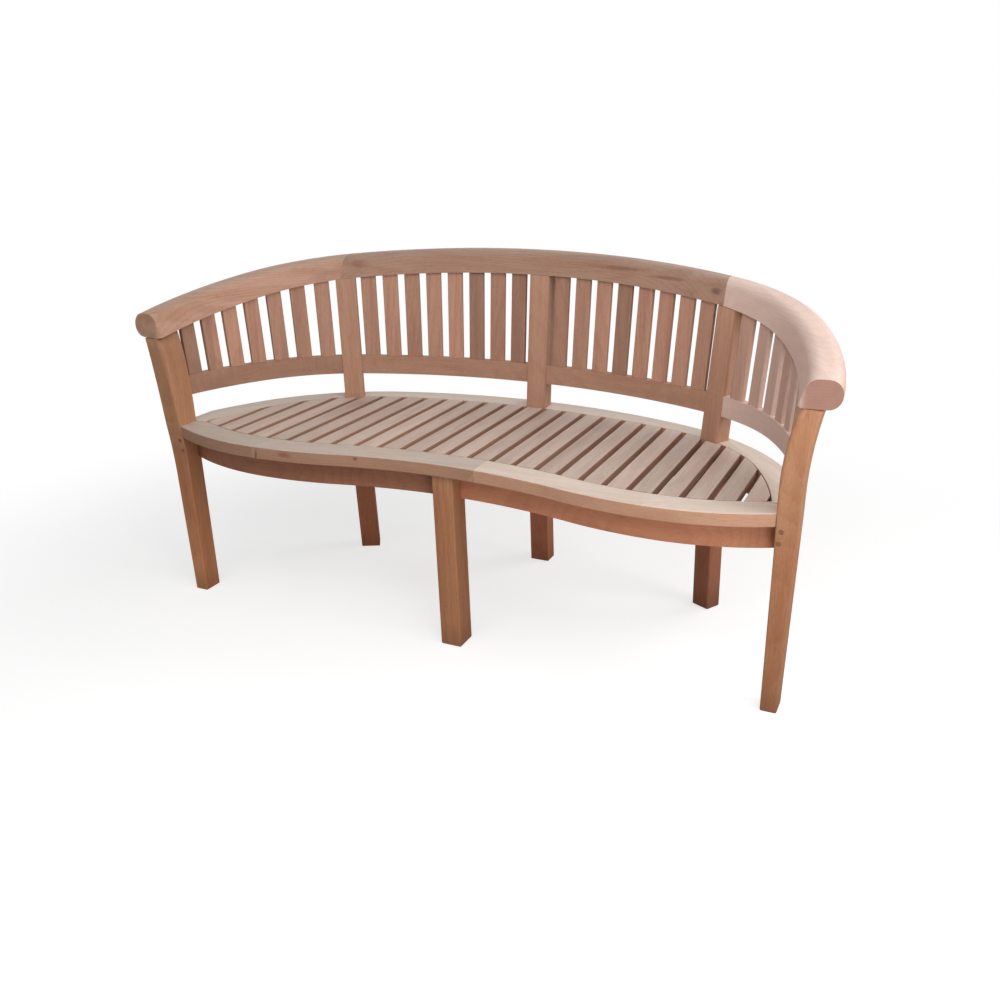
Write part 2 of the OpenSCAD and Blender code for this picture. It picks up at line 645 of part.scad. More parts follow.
module seat_slat(k) place() color("#c09a80") difference() {
    union() {
        translate([0, 0, tongue_z]) linear_extrude(seat_slat_t) intersection() {
            opening(-fit, -slat_end_gap);
            slat_strip(k, seat_slat_w);
        }
        translate([0, 0, tongue_z]) linear_extrude(tongue_t) intersection() {
            opening(tongue_l - 2 * fit, meets_post(k) ? -slat_end_gap : tongue_l - 2 * fit);
            slat_strip(k, tongue_w);
        }
    }
    if (meets_post(k)) post_blank(sign(slat_x(k)), slat_end_gap);
}

// Bearers from front to back, and the batten across them under the slats
batten_h = 30;
batten_z = tongue_z - batten_h;
bearer_z = batten_z - bearer_h;
bearer_past = 8;
module seat_bearers() place() color("#8a5530") for (side = [-1, 0, 1]) difference() {
    x = side == 0 ? front_leg_shift : side * post_x;
    y0 = front_y(x, apron_inset, apron_end_r);
    y1 = point(back, side * post_a)[1] + bearer_past;
    translate([x - bearer_w / 2, y0, bearer_z]) cube([bearer_w, y1 - y0, bearer_h]);
    post_blank(side);
    if (side == 0) front_leg_blank();
    if (side != 0) front_apron_band(side, front_leg_w / 2, leg_in_x, 0, apron_inset + apron_t, 0, seat_h);
}
batten_y = (front_y0 + front_leg_inset + front_leg_d) / 2;
batten_pitches = 20;
batten_l = batten_pitches * slat_pitch + seat_slat_w;
module seat_batten() place() color("#8a5530") translate([-batten_l / 2, batten_y - batten_w / 2, batten_z])
    cube([batten_l, batten_w, batten_h]);

module joint_dowels() place() color("#c7a27c") {
    for (side = [-1, 1]) rail_dowels(side);
    ring_dowels();
}

end_leg(-1);  // end_leg_left
end_leg(1);  // end_leg_right
front_centre_leg();
rear_post(-1);  // rear_post_left
rear_post(0);  // rear_post_centre
rear_post(1);  // rear_post_right
top_rail_arm(-1);  // top_rail_left_arm
top_rail_middle();
top_rail_arm(1);  // top_rail_right_arm
lower_rail(-1, "end");  // lower_rail_left_end
lower_rail(-1, "middle");  // lower_rail_left_middle
lower_rail(1, "middle");  // lower_rail_right_middle
lower_rail(1, "end");  // lower_rail_right_end
back_slats(-1, "end");  // back_slats_left_end
back_slats(-1, "middle");  // back_slats_left_middle
back_slats(1, "middle");  // back_slats_right_middle
back_slats(1, "end");  // back_slats_right_end
ring_front(-leg_out_x, -lobe_joint_x);  // ring_front_left_end
ring_front(-lobe_joint_x, front_joint_x);  // ring_front_left_middle
ring_front(front_joint_x, lobe_joint_x);  // ring_front_right_middle
ring_front(lobe_joint_x, leg_out_x);  // ring_front_right_end
ring_rear_end(-1);  // ring_rear_left_end
ring_rear_middle(-1);  // ring_rear_left_middle
ring_rear_middle(1);  // ring_rear_right_middle
ring_rear_end(1);  // ring_rear_right_end
front_apron(-1);  // front_apron_left
front_apron(1);  // front_apron_right
rear_apron(-1, "end");  // rear_apron_left_end
rear_apron(-1, "middle");  // rear_apron_left_middle
rear_apron(1, "middle");  // rear_apron_right_middle
rear_apron(1, "end");  // rear_apron_right_end
seat_bearers();
seat_batten();
joint_dowels();
leg_plugs();
for (k = slat_ids) seat_slat(k);
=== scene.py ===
# %% [markdown]
# A curved teak bench with a wavy front edge. The CAD model holds every board where it belongs, so this
# script keeps all its places and sizes. Blender adds what a drawing leaves out: eased edges, wood grain, a
# tint of its own for each board, and soft light.

# %% Load the bench
import json
import math
import random

import bmesh
import bpy
from mathutils import Euler, Matrix, Vector, geometry
from mathutils.bvhtree import BVHTree


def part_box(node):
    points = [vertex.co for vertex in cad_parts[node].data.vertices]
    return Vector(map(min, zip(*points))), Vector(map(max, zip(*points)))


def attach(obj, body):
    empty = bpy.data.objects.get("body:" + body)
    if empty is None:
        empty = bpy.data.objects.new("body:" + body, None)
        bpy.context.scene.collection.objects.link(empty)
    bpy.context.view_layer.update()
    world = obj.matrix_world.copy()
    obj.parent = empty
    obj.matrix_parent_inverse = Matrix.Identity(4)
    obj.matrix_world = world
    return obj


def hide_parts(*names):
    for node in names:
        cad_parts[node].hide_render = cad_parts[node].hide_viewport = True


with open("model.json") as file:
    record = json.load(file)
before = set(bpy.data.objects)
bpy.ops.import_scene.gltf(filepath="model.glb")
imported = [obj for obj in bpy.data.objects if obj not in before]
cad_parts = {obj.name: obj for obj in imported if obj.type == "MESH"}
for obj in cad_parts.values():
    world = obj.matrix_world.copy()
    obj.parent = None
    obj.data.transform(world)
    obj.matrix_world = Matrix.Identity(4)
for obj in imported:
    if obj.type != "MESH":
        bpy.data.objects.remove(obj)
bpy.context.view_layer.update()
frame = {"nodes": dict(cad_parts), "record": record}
nodes = frame["nodes"]
slot_of = {part["node"]: part["material_slot"] for part in frame["record"]["subparts"]}
scene = bpy.context.scene

# %% [markdown]
# The camera stands where the photographer stood: in front of the bench, to its right and a little above it.
# The place and the two angles were fitted to the bench's own straight and level parts.
# A lens is easier to fit as a ratio to the sensor's width, because that ratio alone sets the field of view.

# %% Camera
CAMERA_PLACE = Vector((0.923, -2.0827, 1.094))
CAMERA_TURN = math.radians(23.69)
CAMERA_TILT = math.radians(20.05)
CAMERA_ROLL = math.radians(0.37)
LENS_TO_SENSOR = 1.0433
SENSOR_WIDTH = 36

camera_data = bpy.data.cameras.new("bench_camera")
camera_data.sensor_width = SENSOR_WIDTH
camera_data.lens = LENS_TO_SENSOR * SENSOR_WIDTH
camera = bpy.data.objects.new("bench_camera", camera_data)
scene.collection.objects.link(camera)
turned = Euler((math.pi / 2 - CAMERA_TILT, 0, CAMERA_TURN)).to_matrix()
turned = turned @ Matrix.Rotation(CAMERA_ROLL, 3, "Z")
camera.matrix_world = Matrix.Translation(CAMERA_PLACE) @ turned.to_4x4()
scene.camera = camera
print("camera at", [round(v, 3) for v in camera.location])

# %% [markdown]
# The bench is lit by soft lamps from many sides.
# Those to the right and in front are the strongest, so the right side glows a little.
# The camera doesn't see the lamps themselves, only what they light.
# The Standard view transform shows the colours as they are, without the look of a film.

# %% Lamps
scene.view_settings.view_transform = "Standard"
AIM = (0.1, -0.1, 0.45)
WARM = (1.0, 0.97, 0.92)


def lamp(name, place, size, power, target=AIM, tone=(1, 1, 1)):
    data = bpy.data.lights.new(name, "AREA")
    data.shape = "SQUARE"
    data.size = size
    data.energy = power
    data.color = tone
    lamp_object = bpy.data.objects.new(name, data)
    scene.collection.objects.link(lamp_object)
    aim = (Vector(target) - Vector(place)).to_track_quat("-Z", "Y")
    lamp_object.matrix_world = Matrix.Translation(place) @ aim.to_matrix().to_4x4()
    lamp_object.visible_camera = False


lamp("key_lamp", (1.5, -0.8, 2.0), size=1.2, power=10)
lamp("near_lamp", (0.75, -1.3, 1.5), size=0.7, power=7, target=(0.35, 0, 0.5))
lamp("side_lamp", (2.4, -0.3, 1.4), size=1.2, power=17.5, tone=WARM)
lamp("front_lamp", (0, -2.2, 2.6), size=1.4, power=20)
lamp("back_lamp", (1.4, 1.2, 2.2), size=1.2, power=14)
lamp("low_lamp", (1.35, -1.6, 0.45), size=0.7, power=9, tone=WARM)
lamp("left_lamp", (-1.6, -2.6, 1.4), size=1.4, power=9)
print("lamps:", len(bpy.data.lights))

# %% [markdown]
# A shader is a tree of nodes, and most of its steps are alike: make a node, set a few values, link the
# others. Small helpers take up those steps. Each takes numbers or other nodes' outputs, so the calls read
# like formulas.

# %% Helpers for shader trees
def make(tree, kind, **values):
    """A new node. A value sets the node's own property of that name, or else its input of that name."""
    node = tree.nodes.new(kind)
    for key, value in values.items():
        if hasattr(node, key):
            setattr(node, key, value)
        else:
            node.inputs[key].default_value = value
    return node


def put(tree, value, socket):
    if isinstance(value, bpy.types.NodeSocket):
        tree.links.new(value, socket)
    else:
        socket.default_value = value


def maths(tree, operation, a, b=0.0, c=None, clamp=False):
    node = make(tree, "ShaderNodeMath", operation=operation, use_clamp=clamp)
    put(tree, a, node.inputs[0])
    put(tree, b, node.inputs[1])
    if c is not None:
        put(tree, c, node.inputs[2])
    return node.outputs[0]


def vector_maths(tree, operation, a, b=None, output="Vector"):
    node = make(tree, "ShaderNodeVectorMath", operation=operation)
    put(tree, a, node.inputs[0])
    if b is not None:
        put(tree, b, node.inputs[1])
    return node.outputs[output]


def smooth_band(tree, value, low, high, out_low=0.0, out_high=1.0):
    """Rises softly from out_low to out_high while the value goes from low to high."""
    node = make(tree, "ShaderNodeMapRange", interpolation_type="SMOOTHSTEP")
    put(tree, value, node.inputs["Value"])
    put(tree, low, node.inputs["From Min"])
    put(tree, high, node.inputs["From Max"])
    put(tree, out_low, node.inputs["To Min"])
    put(tree, out_high, node.inputs["To Max"])
    return node.outputs["Result"]


def blend_shaders(tree, factor, first, second):
    node = make(tree, "ShaderNodeMixShader")
    put(tree, factor, node.inputs["Fac"])
    put(tree, first, node.inputs[1])
    put(tree, second, node.inputs[2])
    return node.outputs[0]


print("shader helpers are ready")

# %% [markdown]
# A weak white world fills the shadows, like the walls of a photographer's tent.
# Its brightness for the camera and for reflections is set apart.
# Pale wood mirrors a bright sky at low angles, and a product photograph shows that.

# %% White world
TENT_STRENGTH = 0.16
MIRRORED_STRENGTH = 1.6

world = bpy.data.worlds.new("white_tent")
scene.world = world
world.use_nodes = True
tree = world.node_tree
tree.nodes.clear()
path = make(tree, "ShaderNodeLightPath")
tent = make(tree, "ShaderNodeBackground", Strength=TENT_STRENGTH)
seen = make(tree, "ShaderNodeBackground", Color=(1, 1, 1, 1))
is_glossy = path.outputs["Is Glossy Ray"]
put(tree, maths(tree, "MULTIPLY_ADD", is_glossy, MIRRORED_STRENGTH - 1, 1.0), seen.inputs["Strength"])
is_seen = maths(tree, "MAXIMUM", path.outputs["Is Camera Ray"], is_glossy)
is_seen = maths(tree, "MAXIMUM", is_seen, path.outputs["Is Transmission Ray"])
world_out = make(tree, "ShaderNodeOutputWorld")
put(tree, blend_shaders(tree, is_seen, tent.outputs[0], seen.outputs[0]), world_out.inputs["Surface"])
print("world strength:", TENT_STRENGTH, "and as a reflection:", MIRRORED_STRENGTH)

# %% [markdown]
# The floor is a plain disc. It catches the bench's shadow, and it glows a little to the camera, so it looks
# white. Further out it turns into pure white, so it has no edge and no horizon shows. The glow is for the
# camera alone, so it adds no light to the bench. The disc's grey paint does bounce some back.

# %% Floor
FLOOR_RADIUS = 14
FLOOR_SIDES = 96
FLOOR_GREY = 0.5
FLOOR_GLOW = 0.66
FADE_START = 0.9
FADE_END = 1.8

bm = bmesh.new()
bmesh.ops.create_circle(bm, cap_ends=True, segments=FLOOR_SIDES, radius=FLOOR_RADIUS)
floor_mesh = bpy.data.meshes.new("studio_floor")
bm.to_mesh(floor_mesh)
bm.free()
floor = bpy.data.objects.new("studio_floor", floor_mesh)
scene.collection.objects.link(floor)

floor_paint = bpy.data.materials.new("studio_floor")
floor_paint.use_nodes = True
tree = floor_paint.node_tree
tree.nodes.clear()
is_camera = make(tree, "ShaderNodeLightPath").outputs["Is Camera Ray"]
cloth = make(tree, "ShaderNodeBsdfDiffuse", Color=(FLOOR_GREY, FLOOR_GREY, FLOOR_GREY, 1))
glow = make(tree, "ShaderNodeEmission")
put(tree, maths(tree, "MULTIPLY", is_camera, FLOOR_GLOW), glow.inputs["Strength"])
near = make(tree, "ShaderNodeAddShader")
put(tree, cloth.outputs[0], near.inputs[0])
put(tree, glow.outputs[0], near.inputs[1])
white = make(tree, "ShaderNodeEmission")
place = make(tree, "ShaderNodeTexCoord")
reach = vector_maths(tree, "LENGTH", place.outputs["Object"], output="Value")
far_seen = maths(tree, "MULTIPLY", smooth_band(tree, reach, FADE_START, FADE_END), is_camera)
floor_out = make(tree, "ShaderNodeOutputMaterial")
put(tree, blend_shaders(tree, far_seen, near.outputs[0], white.outputs[0]), floor_out.inputs["Surface"])
floor_mesh.materials.append(floor_paint)
print("floor fades to white from", FADE_START, "to", FADE_END, "metres")

# %% [markdown]
# The CAD boards have knife edges. Before an edge can be eased, the board is copied and cleaned, because a
# CAD mesh has doubled points and needless flat facets. The copy later stands in for the CAD node.

# %% Copy and clean a board
WELD = 0.00003
FLAT = math.radians(0.25)


def clean_copy(node):
    bm = bmesh.new()
    bm.from_mesh(node.data)
    bmesh.ops.remove_doubles(bm, verts=bm.verts, dist=WELD)
    bmesh.ops.dissolve_limit(bm, angle_limit=FLAT, use_dissolve_boundaries=False,
                             verts=bm.verts, edges=bm.edges, delimit=set())
    bm.normal_update()
    return bm


print("points closer than", round(WELD * 1000, 3), "mm are joined")

# %% [markdown]
# Each front end of the seat ring stops at the inner face of an end leg, but the CAD board keeps a flap
# behind it. A flap without thickness has no inside, so easing its edges would turn the board's top face
# over. One cut along the leg's face takes it off. Behind the leg, the rear ring and the rear apron stop a
# little short of its outer face on the real bench, so no end shows beside it, and they are cut in the same
# way.

# %% Cut off what reaches too far out
LEG_INNER_X = 0.6724
REAR_END_X = 0.699
ON_PLANE = 0.00001
CUT_WELD = 0.0002


def cut_to_length(bm, name):
    if not (name.startswith(("ring_front", "ring_rear", "rear_apron")) and name.endswith("_end")):
        return
    side = 1 if "right" in name else -1
    reach = LEG_INNER_X if "front" in name else REAR_END_X
    bmesh.ops.bisect_plane(bm, geom=bm.verts[:] + bm.edges[:] + bm.faces[:], dist=ON_PLANE,
                           plane_co=(side * reach, 0, 0), plane_no=(side, 0, 0), clear_outer=True)
    bmesh.ops.holes_fill(bm, edges=[edge for edge in bm.edges if edge.is_boundary], sides=0)
    bmesh.ops.remove_doubles(bm, verts=bm.verts, dist=CUT_WELD)
    bm.normal_update()


print("ring and aprons are cut at", LEG_INNER_X, "and", REAR_END_X, "metres from the middle")

# %% [markdown]
# Every board of a real bench has its edges eased with sandpaper or a small router bit. That thin bright
# line is what makes wood look real. Not every edge gets one. The rims of mortises and pockets stay sharp. A
# ray that starts on a pocket's wall soon meets the opposite wall, so such faces are easy to find.

# %% Find the pockets
POCKET_REACH = 0.045
OFF_THE_FACE = 0.0001


def inner_point(face):
    corners = [v.co for v in face.verts]
    triangle = geometry.tessellate_polygon([corners])[0]
    return sum((corners[i] for i in triangle), Vector()) / 3


def pocket_faces(bm):
    walls = BVHTree.FromBMesh(bm)
    found = set()
    for face in bm.faces:
        start = inner_point(face) + face.normal * OFF_THE_FACE
        if walls.ray_cast(start, face.normal, POCKET_REACH)[0] is not None:
            found.add(face)
    return found


print("walls that face each other within", POCKET_REACH, "metres belong to a pocket")

# %% [markdown]
# Edges of a glued joint stay sharp too, because both boards are sanded flush there and the joint almost
# vanishes. There are three such places: the square ends of the front ring, the front seam of the rear ring,
# and the shoulder on which an arm rests. What is left and sharp enough gets eased.

# %% Edges to ease
SHARP = math.radians(24)
UPRIGHT = 0.7
SQUARE_END = 0.99
RING_SEAM_Y = -0.2122
LEG_SHOULDER_Z = 0.6


def steepness(edge):
    """0 for a level edge, 1 for a plumb one."""
    return abs((edge.verts[1].co - edge.verts[0].co).normalized().z)


def is_glued(edge, name):
    """True for the front seam of the rear ring, the square ends of the front ring and a leg's shoulder."""
    start, stop = (v.co for v in edge.verts)
    if name.startswith("ring_rear") and name.endswith("_end"):
        return max(start.y, stop.y) <= RING_SEAM_Y
    if name.startswith("ring_front"):
        return any(abs(face.normal.x) > SQUARE_END for face in edge.link_faces)
    if name.startswith("end_leg"):
        return min(start.z, stop.z) > LEG_SHOULDER_Z and steepness(edge) < UPRIGHT
    return False


def outline_edges(bm, name, has_pockets):
    pockets = pocket_faces(bm) if has_pockets else set()
    edges = []
    for edge in bm.edges:
        if len(edge.link_faces) != 2 or not edge.is_convex or is_glued(edge, name):
            continue
        if edge.calc_face_angle() > SHARP and not pockets.intersection(edge.link_faces):
            edges.append(edge)
    return edges


print("edges sharper than", round(math.degrees(SHARP)), "degrees are eased")

# %% [markdown]
# An eased edge is a bevel with a few steps. Where a board is narrower than its round, the bevel folds the
# surface back on itself, and a fold shows as a black spot. So each board is tried with its full round first
# and with smaller ones after that, and the widest round that folds the least is kept. An end leg gets the
# full round only, because the next step widens it.

# %% Ease the edges
FOLDED = math.radians(175)
FOLD_ALLOWED = 2e-6
ROUND_SHARES = (1.0, 0.7, 0.45, 0.25)


def folded_area(bm):
    """How much of the surface is folded back on itself, in square metres."""
    trial = bm.copy()
    bmesh.ops.triangulate(trial, faces=trial.faces[:])
    area = sum(min(face.calc_area() for face in edge.link_faces) for edge in trial.edges
               if len(edge.link_faces) == 2 and edge.calc_face_angle(0) > FOLDED)
    trial.free()
    return area


def ease(bm, name, width, steps, has_pockets):
    """Returns the eased mesh and how many edges it took. The mesh that it was given is freed."""
    best, best_area, best_count = None, None, 0
    for share in ROUND_SHARES[:1] if name.startswith("end_leg") else ROUND_SHARES:
        trial = bm.copy()
        edges = outline_edges(trial, name, has_pockets)
        bmesh.ops.bevel(trial, geom=edges, offset=width * share, offset_type="OFFSET", affect="EDGES",
                        segments=steps, profile=0.5, material=-1, clamp_overlap=False, loop_slide=True)
        area = folded_area(trial)
        if best is None or area < best_area:
            if best is not None:
                best.free()
            best, best_area, best_count = trial, area, len(edges)
        else:
            trial.free()
        if best_area < FOLD_ALLOWED:
            break
    bm.free()
    return best, best_count


print("rounds tried for each board:", ROUND_SHARES)

# %% [markdown]
# The upright inner corner of each end leg is rounded by hand on the real bench. The round is tight at the
# seat, and as broad as the arm's own corner where the leg meets the arm. A bevel has one width, so a small
# round is made first and opened afterwards. For that, the place of the knife edge is noted before the bevel
# takes it away: it is the upright edge whose two faces look inwards and to the front. The tenon on top of
# the leg has such an edge too, and it is noted by mistake. So at the shoulder the line bends away from the
# corner, and the leg is cut back too far there, by up to 9 mm.

# %% Find the corner of a leg
SEAT_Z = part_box("seat_slat_13")[1].z
BELOW_SEAT = 0.05
FACES_IT = 0.5


def corner_line(bm):
    """The knife edge of an end leg's inner front corner above the seat, as points sorted by height."""
    points = {}
    for edge in bm.edges:
        if len(edge.link_faces) != 2 or edge.calc_face_angle() < SHARP:
            continue
        facing = sum((face.normal for face in edge.link_faces), Vector())
        middle = (edge.verts[0].co + edge.verts[1].co) / 2
        inward = -facing.x if middle.x > 0 else facing.x
        faces_corner = facing.y < -FACES_IT and inward > FACES_IT
        if faces_corner and steepness(edge) > UPRIGHT and middle.z > SEAT_Z - BELOW_SEAT:
            for v in edge.verts:
                points[round(v.co.z, 5)] = v.co.copy()
    return [points[z] for z in sorted(points)]


print("a leg's corner is followed from", round(SEAT_Z - BELOW_SEAT, 3), "metres upwards")

# %% [markdown]
# Each point of the small round is moved away from the old knife edge, the more the higher it is. Moving
# points straight away from the corner turns a small quarter circle into a larger one, and keeps it tangent
# to both faces. A point that would stick out of the corner is pulled back onto the arc.

# %% Open the round of a leg
LEG_ROUND = 0.0035
ARM_ROUND = 0.0135
TENON_RISE = 0.03
ARM_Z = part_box("end_leg_left")[1].z - TENON_RISE
ABOVE_CORNER = 0.004
NEAR_CORNER = LEG_ROUND * 1.2


def held_inside(across, behind, radius):
    """Pulls a point that sticks out of a rounded corner onto its arc, or onto the face beside it."""
    from_centre = Vector((across - radius, behind - radius))
    if max(from_centre) < 0 and from_centre.length > radius:
        from_centre *= radius / from_centre.length
    return max(0.0, from_centre.x + radius), max(0.0, from_centre.y + radius)


def open_round(bm, line):
    side = 1 if line[0].x > 0 else -1
    moved = 0
    for v in bm.verts:
        if not SEAT_Z < v.co.z < line[-1].z + ABOVE_CORNER:
            continue
        above = next((i for i in range(1, len(line) - 1) if line[i].z >= v.co.z), len(line) - 1)
        low, high = line[above - 1], line[above]
        corner = low.lerp(high, (v.co.z - low.z) / (high.z - low.z))
        across, behind = (v.co.x - corner.x) * side, v.co.y - corner.y
        if max(across, behind) < NEAR_CORNER:
            share = min(1.0, (v.co.z - SEAT_Z) / (ARM_Z - SEAT_Z))
            grow = 1 + (ARM_ROUND / LEG_ROUND - 1) * share
            across, behind = held_inside(across * grow, behind * grow, LEG_ROUND * grow)
            v.co.x = corner.x + across * side
            v.co.y = corner.y + behind
            moved += 1
    return moved


print("the legs' round grows from", LEG_ROUND, "to", ARM_ROUND, "metres")

# %% [markdown]
# A board is a straight piece of a tree, so its grain runs straight through it even where its edges are sawn
# to a curve. Each board therefore carries its own grain space: the first axis runs along the fibres, the
# other two across them. A random shift for each board puts it in another part of the tree, so no two boards
# look alike. Where a face cuts across the fibres it shows end grain, which drinks more light and looks
# darker.

# %% Grain space and tint
# Spans of the random shift in metres: along the fibres, sideways, and outward from the heart of the tree
SHIFT_SPANS = ((0, 40), (-0.05, 0.05), (0.05, 0.13))
END_GAIN = 2
END_START = 0.9


def islands(bm):
    """The separate pieces of a mesh, as sets of points, sorted from left to right."""
    left = set(bm.verts)
    found = []
    while left:
        stack = [left.pop()]
        group = set(stack)
        while stack:
            for edge in stack.pop().link_edges:
                for v in edge.verts:
                    if v in left:
                        left.discard(v)
                        group.add(v)
                        stack.append(v)
        found.append(group)
    found.sort(key=lambda group: sum((v.co.x for v in group)) / len(group))
    return found


def set_grain(bm, seed, along, face_up, tones_and_painted_light, end_share):
    """A tint is one number, or a pair: at the board's foot and at its top."""
    grain = bm.verts.layers.float_vector.new("grain")
    tint = bm.verts.layers.float.new("tint")
    end = bm.faces.layers.float.new("end")
    rng = random.Random(seed)
    fibre = Vector(along).normalized()
    for i, group in enumerate(islands(bm)):
        centre = sum((v.co for v in group), Vector()) / len(group)
        up = Vector(face_up(centre) if callable(face_up) else face_up)
        side = up.cross(fibre).normalized()
        up = fibre.cross(side)
        shift = Vector([rng.uniform(*span) for span in SHIFT_SPANS])
        flip = rng.choice((-1, 1))
        # A chosen tint value also paints light and shade, and a pair paints how the light changes from foot
        # to top.
        value = tones_and_painted_light[i] if tones_and_painted_light else rng.uniform(0, 1)
        foot, head = value if isinstance(value, tuple) else (value, value)
        bottom = min(v.co.z for v in group)
        tall = max(v.co.z for v in group) - bottom
        for v in group:
            d = v.co - centre
            v[grain] = Vector((d.dot(fibre) * flip, d.dot(side), d.dot(up))) + shift
            v[tint] = foot + (head - foot) * (v.co.z - bottom) / tall
            for face in v.link_faces:
                across_fibres = abs(face.normal.dot(fibre)) * END_GAIN - END_START
                face[end] = end_share * min(1.0, max(0.0, across_fibres))


print("each board's grain is shifted by up to", SHIFT_SPANS[0][1], "metres along its fibres")

# %% [markdown]
# The finished copy becomes an object of its own. It rides on the bench's one body and replaces the CAD
# node. Smooth shading with sharp edges kept, and normals weighted by the size of the faces, keep the flat
# faces flat and let only the narrow rounds catch the light.

# %% Finish a piece
SMOOTH_BELOW = math.radians(38)
NORMAL_WEIGHT = 60


def finish_piece(bm, name, material):
    mesh = bpy.data.meshes.new("teak_" + name)
    bm.normal_update()
    bm.to_mesh(mesh)
    bm.free()
    for polygon in mesh.polygons:
        polygon.use_smooth = True
    mesh.set_sharp_from_angle(angle=SMOOTH_BELOW)
    mesh.materials.append(material)
    piece = bpy.data.objects.new("teak_" + name, mesh)
    scene.collection.objects.link(piece)
    shade = piece.modifiers.new("even_shading", "WEIGHTED_NORMAL")
    shade.keep_sharp = True
    shade.weight = NORMAL_WEIGHT
    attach(piece, "root")
    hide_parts(name)
    return piece


print("edges flatter than", round(math.degrees(SMOOTH_BELOW)), "degrees are shaded smooth")

# %% [markdown]
# Teak is brown with a straight grain: pale and dark bands from each year's growth, soft streaks of darker
# heartwood, and fine open pores like pencil strokes. All of it is worked out from the grain space, so it
# runs through the board and also shows as arcs on its ends. Noise that is drawn out along the fibres gives
# the streaks, and the distance from the tree's heart the rings.

# %% Helpers for wood
def new_group(name, inputs, outputs):
    group = bpy.data.node_groups.new(name, "ShaderNodeTree")
    for label, kind, value in inputs:
        socket = group.interface.new_socket(label, in_out="INPUT", socket_type=kind)
        if value is not None:
            socket.default_value = value
    for label, kind in outputs:
        group.interface.new_socket(label, in_out="OUTPUT", socket_type=kind)
    return group, group.nodes.new("NodeGroupInput"), group.nodes.new("NodeGroupOutput")


def noise(tree, vector, fineness, detail=2.0, roughness=0.5):
    """Noise with its own fineness along each axis: the larger the number, the finer."""
    node = make(tree, "ShaderNodeTexNoise", Scale=1.0, Detail=detail, Roughness=roughness, Distortion=0.0)
    put(tree, vector_maths(tree, "MULTIPLY", vector, fineness), node.inputs["Vector"])
    return node


def mixed(tree, factor, a, b, blend="MIX"):
    """A colour between a and b. Of a Mix node's many sockets, 6, 7 and 2 are the ones for colours."""
    node = make(tree, "ShaderNodeMix", data_type="RGBA", blend_type=blend)
    put(tree, factor, node.inputs[0])
    put(tree, a, node.inputs[6])
    put(tree, b, node.inputs[7])
    return node.outputs[2]


def toned(tree, mask, colour, tone):
    """The colour, multiplied by a tone where the mask is 1."""
    return mixed(tree, mask, colour, mixed(tree, 1.0, colour, tone, "MULTIPLY"))


print("wood helpers are ready")

# %% [markdown]
# One shader group makes the figure of the wood, and each finish gives it other colours. It puts out a
# colour, a roughness and a height, and the shader itself stays outside.

# %% Teak figure group
figure, f_in, f_out = new_group(
    "teak_figure",
    [("Grain", "NodeSocketVector", None), ("Tint", "NodeSocketFloat", 0.5),
     ("Pale", "NodeSocketColor", (0.6, 0.4, 0.3, 1)), ("Brown", "NodeSocketColor", (0.4, 0.25, 0.15, 1)),
     ("Heartwood", "NodeSocketColor", (0.25, 0.13, 0.08, 1)),
     ("Ring Strength", "NodeSocketFloat", 0.5), ("Streak Strength", "NodeSocketFloat", 0.5),
     ("Pore Strength", "NodeSocketFloat", 0.3), ("Tint Strength", "NodeSocketFloat", 0.3),
     ("Shade", "NodeSocketColor", (1, 1, 1, 1)), ("Side", "NodeSocketFloat", 0.0),
     ("End", "NodeSocketFloat", 0.0)],
    [("Color", "NodeSocketColor"), ("Roughness", "NodeSocketFloat"), ("Height", "NodeSocketFloat")])
given = f_in.outputs
print("the figure group takes:", [socket.name for socket in given if socket.name])

# %% [markdown]
# The heart of a tree wanders a little along the trunk, so the rings of a board aren't ruler straight. A
# slow noise pushes the grain space sideways, and rings and streaks are worked out from the swayed space.

# %% Sway of the fibres
SWAY = (0.0, 0.022, 0.022)
SWAY_FINENESS = (2.2, 9, 9)

sway = make(figure, "ShaderNodeVectorMath", operation="MULTIPLY_ADD")
put(figure, noise(figure, given["Grain"], SWAY_FINENESS).outputs["Color"], sway.inputs[0])
put(figure, SWAY, sway.inputs[1])
put(figure, given["Grain"], sway.inputs[2])
swayed = sway.outputs["Vector"]
print("the fibres sway by up to", SWAY[1], "metres")

# %% [markdown]
# A year's ring is a band at one distance from the heart of the tree. So the distance is counted in years,
# and only the part of a year that has passed is kept. The band comes in softly and ends hard.

# %% Growth rings
HEART_LEAN = 0.02
RINGS_PER_METRE = 165.0
RING_WANDER = 1.6
RING_FINENESS = (0.6, 14, 14)
RING_COMES = (0.25, 0.92)
RING_ENDS = (1.0, 0.93)

axes = make(figure, "ShaderNodeSeparateXYZ")
put(figure, swayed, axes.inputs[0])
heart_y = axes.outputs["Y"]
heart_z = maths(figure, "MULTIPLY_ADD", axes.outputs["X"], HEART_LEAN, axes.outputs["Z"])
radius = maths(figure, "SQRT", maths(figure, "ADD", maths(figure, "MULTIPLY", heart_y, heart_y),
                                     maths(figure, "MULTIPLY", heart_z, heart_z)))
uneven = noise(figure, swayed, RING_FINENESS, detail=1.0)
years = maths(figure, "MULTIPLY_ADD", uneven.outputs["Fac"], RING_WANDER,
              maths(figure, "MULTIPLY", radius, RINGS_PER_METRE))
year_part = maths(figure, "FRACT", years)
ring = maths(figure, "MULTIPLY", smooth_band(figure, year_part, *RING_COMES),
             smooth_band(figure, year_part, *RING_ENDS))
print("rings per metre:", RINGS_PER_METRE)

# %% [markdown]
# Streaks, heartwood, fibres and pores are all noise that is drawn out along the board. They differ in how
# fine it is and in how much of it is kept. A streak is about 2 cm wide, and a pore less than 1 mm.

